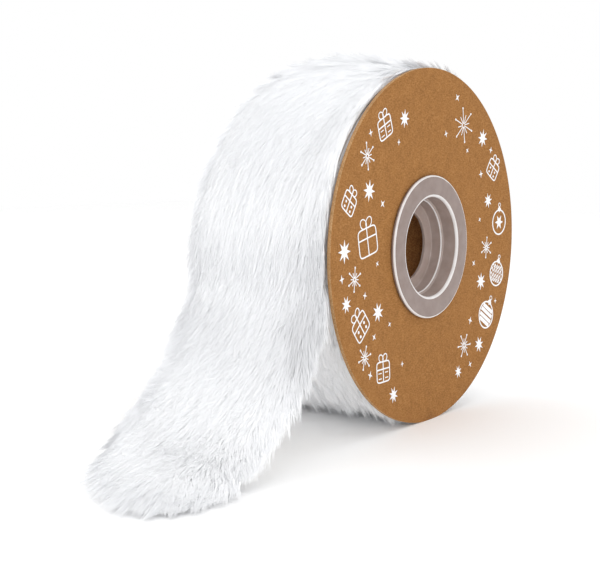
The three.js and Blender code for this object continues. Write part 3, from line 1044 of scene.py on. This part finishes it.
tip_angle = np.interp(tip_u, along_line, angle_on_line)
tip_side = tip_v / half_width(tip_u)
far_side = smooth_step(-tip_side, FAR_FROM, FAR_TO)
proud = of_wisp(salt=9) < np.interp(tip_angle, PROUD_ANGLE, PROUD_SHARE) + PROUD_FAR * far_side
print("locks with hairs:", len(np.unique(lock_row + 1j * lock_column)), "proud hairs:", int(proud.sum()))

# %% [markdown]
# ### How the hairs flow
#
# Each hair rises fast and then levels off, and runs forward along the pile. On top of the reel it also
# leans over to the far disc, on the way down it hangs nearly straight but spreads at the edges, and on the
# table the hairs fan out to the near side. Small tables say how far a tip goes sideways, by its angle round
# the roll and its place across the ribbon.

# %% Flow
FLOW_ANGLE = [0, 45, 90, 140, 190, 350]
FLOW_LEAN = [-1.5, -4.0, -6.0, -3.5, 0, 0]
LEAN_SIDE, LEAN_KEPT = [-1, -0.5, 0.6, 0.9, 1.1], [0.4, 0.9, 1, 0.1, -0.4]
SWEEP_SIDE, SWEEP_SWING = [-1.2, -0.5, 0.3, 0.8, 1.2], [-4.5, -2.2, -0.6, 1.5, 4.0]
SPREAD_SIDE, SPREAD_SWING = [-1.2, -0.6, -0.2, 0.2, 0.6, 1.2], [-1.0, 0.5, 2.5, 4.0, 4.8, 5.4]
SPREAD_FROM, SPREAD_TO = 50, 90
FAR_ANGLE, FAR_LEAN = [0, 50, 80], [-4, -4, 0]

tip_clear = clear_of_discs(tip_u)
lean = np.interp(tip_angle, FLOW_ANGLE, FLOW_LEAN) * np.interp(tip_side, LEAN_SIDE, LEAN_KEPT)
lean += far_side * np.interp(tip_angle, FAR_ANGLE, FAR_LEAN)
sweep = np.interp(tip_side, SWEEP_SIDE, SWEEP_SWING)
spread = np.interp(tip_side, SPREAD_SIDE, SPREAD_SWING)
on_table = smooth_step(tip_u, SPREAD_FROM, SPREAD_TO)
flow = lean + (sweep + (spread - sweep) * on_table - lean) * tip_clear
print("sideways reach of tips, mm:", round(float(flow.min()), 2), round(float(flow.max()), 2))

# %% Hair lengths and roots
HAIR_LENGTH, HAIR_SIZE, WISP_SIZE = 14, (0.8, 1.15), (0.92, 1.08)
LENGTH_ANGLE, LENGTH_SHARE = [0, 180, 270, 350], [1, 0.95, 0.7, 0.5]
STRAY_SHARE, LONGER = 0.01, 1.15
LOCK_TURN, HAIR_TURN, STRAY_TURN = 0.12, 0.05, 4
RUN_SHARE, LEAST_RUN = 0.86, 4


def within(low_high, share):
    """The value at a share of the way through a range."""
    low, high = low_high
    return low + (high - low) * share


stray = rng.random(HAIRS) < STRAY_SHARE
hair_size = within(HAIR_SIZE, rng.random(HAIRS)) * within(WISP_SIZE, of_wisp(salt=4))
length = HAIR_LENGTH * hair_size * np.interp(tip_angle, LENGTH_ANGLE, LENGTH_SHARE)
length *= np.where(stray | proud, LONGER, 1)
turn = LOCK_TURN * (of_lock(salt=5) - 0.5)
turn += HAIR_TURN * rng.normal(size=HAIRS) * np.where(stray, STRAY_TURN, 1)
run = RUN_SHARE * length
swing = flow + run * np.sin(turn)
root_u = tip_u - np.sqrt(np.maximum(run ** 2 - swing ** 2, LEAST_RUN ** 2))
root_v = np.clip(tip_v - swing, -half_sheet(root_u), half_sheet(root_u))
print("mean hair length, mm:", round(float(length.mean()), 2))

# %% [markdown]
# ### Points of the locks
#
# A hair's tip is drawn toward the middle of its wisp and its lock, which makes pointed ends. The pull is
# strongest low on the shoulders, where the points stand out against the table, and there some wisps reach
# farther than others. Under the roll wisps of uneven length hang down, and proud ones are lifted.

# %% Tips
LOCK_PULL, LOCK_PULL_EDGE = 0.1, 0.15
WISP_PULL, WISP_PULL_EDGE, WISP_PULL_SIDE = 0.12, 0.75, 0.4
PULL_ALONG, STRAY_PULL = 0.4, 0.1
LOW_EDGE, LOW_END = 0.65, 0.45
WISP_REACH, HAIR_REACH, WISP_POINT, WISP_RADIUS = (0.65, 1.55), (0.85, 1.15), 0.5, 0.7
LOCK_DEPTH, TIP_DEPTH, ROOT_DEPTH = (0.97, 1.03), (0.77, 1), (0.1, 0.5)
HANG_ANGLE, HANG, HANG_FULL = [245, 262, 282, 298, 312], [0, 4.5, 6.5, 3.5, 0], 4
HANG_LENGTH = (0.7, 1)
PROUD_LIFT, PROUD_FAR_LIFT = [0.5, 0.6, 3.0, 3.0, 1.1], [1.6, 1.6, 0.5, 0, 0]
PROUD_RISE, STRAY_LIFT = (0.4, 1.4), 2.0

past_u, past_v = past_shoulder(tip_u, tip_v)
at_edge = smooth_step(np.maximum(past_u, past_v), LOW_EDGE, 1)
at_end = smooth_step(past_u, LOW_END, 1)
edge_pull = WISP_PULL_SIDE + (WISP_PULL_EDGE - WISP_PULL_SIDE) * np.maximum(at_end, 1 - tip_clear)
from_wisp = np.hypot((tip_u - wisp_u) / WISP_LONG, (tip_v - wisp_v) / WISP_WIDE) / WISP_RADIUS
clings = np.where(stray, STRAY_PULL, 1)
lock_pull = clings * (LOCK_PULL + (LOCK_PULL_EDGE - LOCK_PULL) * at_edge)
hang = np.interp(tip_angle, HANG_ANGLE, HANG)
hangs = np.minimum(hang / HANG_FULL, 1)
wisp_pull = np.where(proud, WISP_PULL_EDGE, WISP_PULL + (edge_pull - WISP_PULL) * at_edge)
wisp_pull = clings * (wisp_pull + (WISP_PULL_EDGE - wisp_pull) * hangs)
tip_v = tip_v + lock_pull * (lock_v - tip_v) + wisp_pull * (wisp_v - tip_v)
tip_u = tip_u + PULL_ALONG * (lock_pull * (lock_u - tip_u) + wisp_pull * (wisp_u - tip_u))
reach = within(WISP_REACH, of_wisp(salt=14)) * (1 - WISP_POINT * np.minimum(from_wisp, 1))
reach *= within(HAIR_REACH, rng.random(HAIRS))
tip_depth = within(TIP_DEPTH, rng.random(HAIRS)) * within(LOCK_DEPTH, of_lock(salt=3))
root_depth = within(ROOT_DEPTH, rng.random(HAIRS))
hang *= of_wisp(salt=16) ** 2 * within(HANG_LENGTH, rng.random(HAIRS))
lift = hang + np.where(stray, STRAY_LIFT, 0)
proud_lift = np.interp(tip_angle, PROUD_ANGLE, PROUD_LIFT)
proud_lift += far_side * np.interp(tip_angle, PROUD_ANGLE, PROUD_FAR_LIFT)
lift += np.where(proud, within(PROUD_RISE, of_wisp(salt=10)), 0) * proud_lift
print("tips low on a shoulder:", int((at_edge > 0.5).sum()))

# %% Hair lines
BEND, RISE, LIFT_AT_BEND = 0.45, 0.75, 0.3
BOW = 0.15


def column(values):
    """Values as a column, one row for each hair."""
    return np.asarray(values)[:, None]


def between(start, end, shares):
    """Values at shares of the way from a start to an end, one row for each hair."""
    return column(start) + column(end - start) * np.array([shares])


hair_u = between(root_u, tip_u, [0, BEND, 1])
hair_v = between(root_v, tip_v, [0, BEND, 1]) + column(BOW * rng.normal(size=HAIRS)) * [0, 1, 0]
hair_depth = between(root_depth, tip_depth, [0, RISE, 1])
hair_along, hair_across, hair_height = on_pillow(hair_u, hair_v, hair_depth, column(reach))
hair_lines = on_ribbon(hair_along, hair_across, hair_height + column(lift) * [0, LIFT_AT_BEND, 1])
print("hair lines:", hair_lines.shape)

# %% [markdown]
# ### Keeping hairs out of the card and the table
#
# A hair that would run through a disc is held just inside it, and one that would go through the table lies
# on it.

# %% Clearances
HAIR_ROOM = 0.25
RIM_ROOM = 0.5
out_from_axis = np.hypot(hair_lines[..., 1], hair_lines[..., 2])
inside_rim = out_from_axis < FLANGE_RADIUS + RIM_ROOM
room = FLANGE_GAP / 2 + flare(out_from_axis) - HAIR_ROOM
held = np.clip(hair_lines[..., 0], -room, room)
print("hair points held by the discs:", int((inside_rim & (held != hair_lines[..., 0])).sum()))
hair_lines[..., 0] = np.where(inside_rim, held, hair_lines[..., 0])
hair_lines[..., 2] = np.maximum(hair_lines[..., 2], HAIR_ROOM - AXIS_HEIGHT)

# %% [markdown]
# ### The hairs' finish and meshes
#
# Fur is white because light bounces on from hair to hair. The finish is a plain bright white, painted
# darker and lighter from place to place as painted shade and light, darker at the roots as painted shade,
# and a little different from hair to hair at random. Each hair's sides are laid out on one of 64 strips of
# a map, from the most shaded to the brightest, so the painted shading comes from the strip's number.

# %% Hair finish
HAIR_MAP = "OFBake"
TINTS = 64
hair_white = new_finish("white_pile", Roughness=0.6, Specular_IOR_Level=0.25)
hair_map = wire(hair_white, "UVMap", uv_map=HAIR_MAP).outputs["UV"]
on_hair = wire(hair_white, "SeparateXYZ", {0: hair_map}).outputs
strip_number = maths(hair_white, "FLOOR", maths(hair_white, "MULTIPLY", on_hair["X"], TINTS))
tint = maths(hair_white, "DIVIDE", strip_number, TINTS - 1)
# The ramp runs from painted shade to painted light; the roots are painted a little darker, as painted shade
# deep in the pile.
painted_shade_white, plain, painted_light_white = (0.8, 0.805, 0.817), (0.89, 0.895, 0.905), (0.982, 0.985, 0.99)
shaded_white = ramp(hair_white, tint, (0, painted_shade_white), (0.25, plain), (1, painted_light_white))
root_shade = ramp(hair_white, on_hair["Y"], (0, (0.98, 0.98, 0.98)), (0.5, (1, 1, 1)))
feed(hair_white, "Base Color", multiplied(hair_white, shaded_white, root_shade))

# %% Hair meshes
HAIR_THICK, THICK_RANGE, EDGE_THICKER = 0.16, (0.8, 1.2), 0.3
THICK_ANGLE, THICK_SHARE = [0, 100, 180], [1, 1, 1.3]
SIDES = 3
STRIP_MARGIN = 0.1
ASKEW = np.array([0.31, 0.42, 0.85])
# Painted shade and light on the pile: a level by angle round the roll, one by side on the loose end, and
# painted shade on the sweep's near edge, at the ribbon's edges and on the wisps at the cut. Only the spread
# from hair to hair is the hairs' own random tone.
SHADING_ANGLE = [0, 20, 50, 75, 105, 145, 220, 270, 352]
PAINTED_SHADING = [0.54, 0.65, 0.74, 0.28, 0.08, 0.55, 0.85, 0.62, 0.6]
LOOSE_SHADING_SIDE, PAINTED_SHADING_LOOSE = [-1.3, -0.9, -0.6, 0.7, 0.95, 1.3], [0.25, 0.55, 0.97, 0.97, 0.9, 0.4]
LOOSE_SHADING_FROM, LOOSE_SHADING_TO = 20, 70
SWEEP_SHADE_SIDE, SWEEP_PAINTED_SHADE = [0.4, 0.8, 1.2], [0, 0.5, 0.9]
SWEEP_FROM, SWEEP_TO = 20, 65
EDGE_SHADE_SIDE, EDGE_PAINTED_SHADE = [-1, -0.75, 0.5, 0.75, 1], [0.35, 0, 0, 0.15, 0.45]
EDGE_ANGLE, EDGE_SHADE_KEPT = [0, 30, 60, 175, 180], [1, 1, 0.4, 0.4, 0]
END_PAINTED_SHADE, TINT_SPREAD = 0.55, 0.1


def spindles(lines, thick, number):
    """Closed spindles along lines of root, bend and tip, with a ring at the bend, and their map."""
    count = len(lines)
    along = lines[:, 2] - lines[:, 0]
    along /= np.linalg.norm(along, axis=-1, keepdims=True)
    first = np.cross(along, ASKEW)
    first /= np.linalg.norm(first, axis=-1, keepdims=True)
    second = np.cross(along, first)
    turn = column(np.arange(SIDES) * 2 * math.pi / SIDES)
    out = first[:, None] * np.cos(turn) + second[:, None] * np.sin(turn)
    ring = lines[:, 1:2] + out * thick[:, None, None] / 2
    points = np.concatenate([lines[:, :1], ring, lines[:, 2:]], axis=1)

    side = np.arange(SIDES)
    following = (side + 1) % SIDES
    root_faces = np.stack([0 * side, 1 + following, 1 + side], axis=-1)
    tip_faces = np.stack([1 + side, 1 + following, 0 * side + SIDES + 1], axis=-1)
    offset = (np.arange(count) * (SIDES + 2))[:, None, None]
    faces = (np.concatenate([root_faces, tip_faces])[None] + offset).reshape(-1, 3)

    low, bend, high = (np.full(SIDES, level) for level in (0, BEND, 1))
    root_map = np.stack([side + 0.5, low, side + 1, bend, side, bend], axis=-1)
    tip_map = np.stack([side, bend, side + 1, bend, side + 0.5, high], axis=-1)
    corners = np.concatenate([root_map, tip_map]).reshape(-1, 2)
    maps = np.tile(corners, (count, 1, 1))
    maps[..., 0] = STRIP_MARGIN + (1 - 2 * STRIP_MARGIN) * maps[..., 0] / SIDES
    maps[..., 0] = (maps[..., 0] + column(number)) / TINTS
    return points.reshape(-1, 3), faces, maps.reshape(-1, 2)


thick = HAIR_THICK * within(THICK_RANGE, rng.random(HAIRS)) * np.interp(tip_angle, THICK_ANGLE, THICK_SHARE)
thick *= 1 + EDGE_THICKER * at_edge
# Painted shade and light by place, then the hairs' own random spread.
mean_shading = np.interp(tip_angle, SHADING_ANGLE, PAINTED_SHADING)
mean_shading -= np.interp(tip_side, EDGE_SHADE_SIDE, EDGE_PAINTED_SHADE) * np.interp(tip_angle, EDGE_ANGLE, EDGE_SHADE_KEPT)
loose_shading = np.interp(tip_side, LOOSE_SHADING_SIDE, PAINTED_SHADING_LOOSE)
mean_shading += (loose_shading - mean_shading) * tip_clear * smooth_step(tip_u, LOOSE_SHADING_FROM, LOOSE_SHADING_TO)
sweep_shade_kept = 1 - smooth_step(tip_u, SWEEP_FROM, SWEEP_TO)
mean_shading -= np.interp(tip_side, SWEEP_SHADE_SIDE, SWEEP_PAINTED_SHADE) * tip_clear * sweep_shade_kept
mean_shading -= END_PAINTED_SHADE * at_end
hair_shading_and_tone = mean_shading + TINT_SPREAD * (2 * rng.random(HAIRS) - 1)
shading_and_tone_slot = np.clip(hair_shading_and_tone * TINTS, 0, TINTS - 1).astype(int)
order = np.argsort(tip_u)
for number, chosen in enumerate(np.array_split(order, HAIR_PIECES), 1):
    points, faces, maps = spindles(hair_lines[chosen], thick[chosen], shading_and_tone_slot[chosen])
    piece = make_piece(f"pile_{number}", points, faces, [hair_white], smooth=False)
    piece.data.uv_layers.new(name=HAIR_MAP).data.foreach_set("uv", maps.astype(np.float32).ravel())
    place(piece, "plush")
